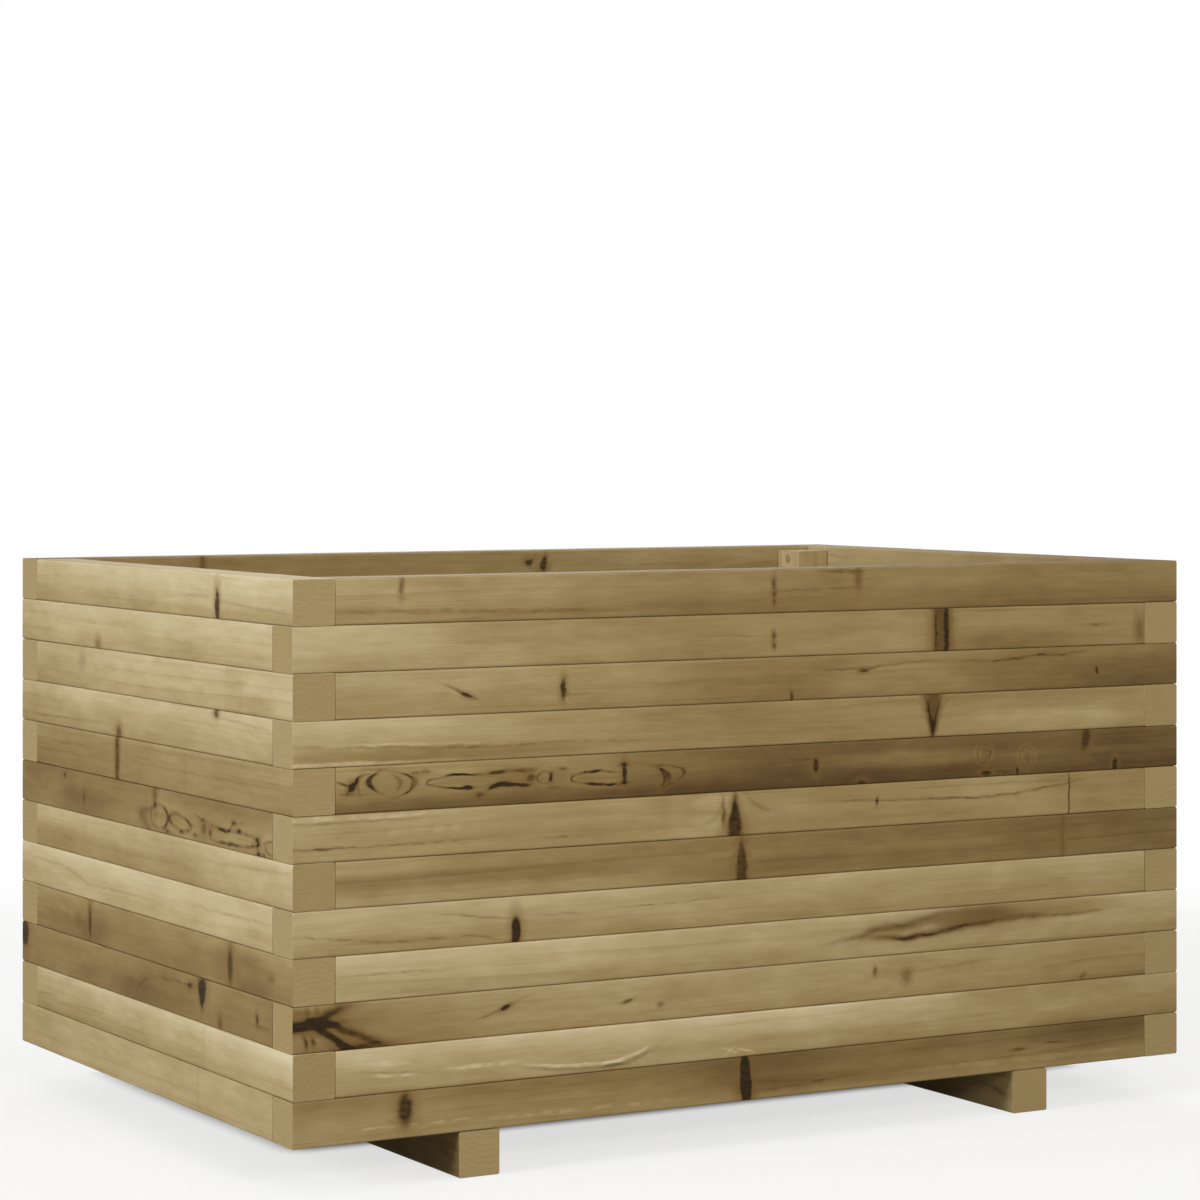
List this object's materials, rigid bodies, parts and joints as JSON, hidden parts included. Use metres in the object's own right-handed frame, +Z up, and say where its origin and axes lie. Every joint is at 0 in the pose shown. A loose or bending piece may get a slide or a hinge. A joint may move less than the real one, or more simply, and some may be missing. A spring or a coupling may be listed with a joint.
{
  "type": "planter box",
  "caption": "Rectangular wooden planter box of stacked square bars that mesh at the corners, with inner posts and a slatted floor, raised on two skids.",
  "frame": {"origin": "on the ground, under the middle of the box", "axes": "+X along the long walls, from left to right seen from the front; +Y from the front wall to the back wall; +Z up"},
  "size_m": [0.9, 0.6, 0.494],
  "materials": {
    "wall_pine": "matte",
    "post_pine": "matte",
    "skid_pine": "matte",
    "floor_pine": "matte",
    "screw_steel": "satin"
  },
  "bodies": {
    "root": {"front_bar_01": "wall_pine", "front_bar_02": "wall_pine", "front_bar_03": "wall_pine", "front_bar_04": "wall_pine", "front_bar_05": "wall_pine", "front_bar_06": "wall_pine", "front_bar_07": "wall_pine", "front_bar_08": "wall_pine", "front_bar_09": "wall_pine", "front_bar_10": "wall_pine", "front_bar_11": "wall_pine", "front_bar_12": "wall_pine", "back_bar_01": "wall_pine", "back_bar_02": "wall_pine", "back_bar_03": "wall_pine", "back_bar_04": "wall_pine", "back_bar_05": "wall_pine", "back_bar_06": "wall_pine", "back_bar_07": "wall_pine", "back_bar_08": "wall_pine", "back_bar_09": "wall_pine", "back_bar_10": "wall_pine", "back_bar_11": "wall_pine", "back_bar_12": "wall_pine", "left_bar_01": "wall_pine", "left_bar_02": "wall_pine", "left_bar_03": "wall_pine", "left_bar_04": "wall_pine", "left_bar_05": "wall_pine", "left_bar_06": "wall_pine", "left_bar_07": "wall_pine", "left_bar_08": "wall_pine", "left_bar_09": "wall_pine", "left_bar_10": "wall_pine", "left_bar_11": "wall_pine", "left_bar_12": "wall_pine", "right_bar_01": "wall_pine", "right_bar_02": "wall_pine", "right_bar_03": "wall_pine", "right_bar_04": "wall_pine", "right_bar_05": "wall_pine", "right_bar_06": "wall_pine", "right_bar_07": "wall_pine", "right_bar_08": "wall_pine", "right_bar_09": "wall_pine", "right_bar_10": "wall_pine", "right_bar_11": "wall_pine", "right_bar_12": "wall_pine", "front_left_post": "post_pine", "front_right_post": "post_pine", "back_left_post": "post_pine", "back_right_post": "post_pine", "left_skid": "skid_pine", "right_skid": "skid_pine", "floor_board_01": "floor_pine", "floor_board_02": "floor_pine", "floor_board_03": "floor_pine", "floor_board_04": "floor_pine", "long_screws": "screw_steel", "floor_screws": "screw_steel"}
  },
  "joints": []
}
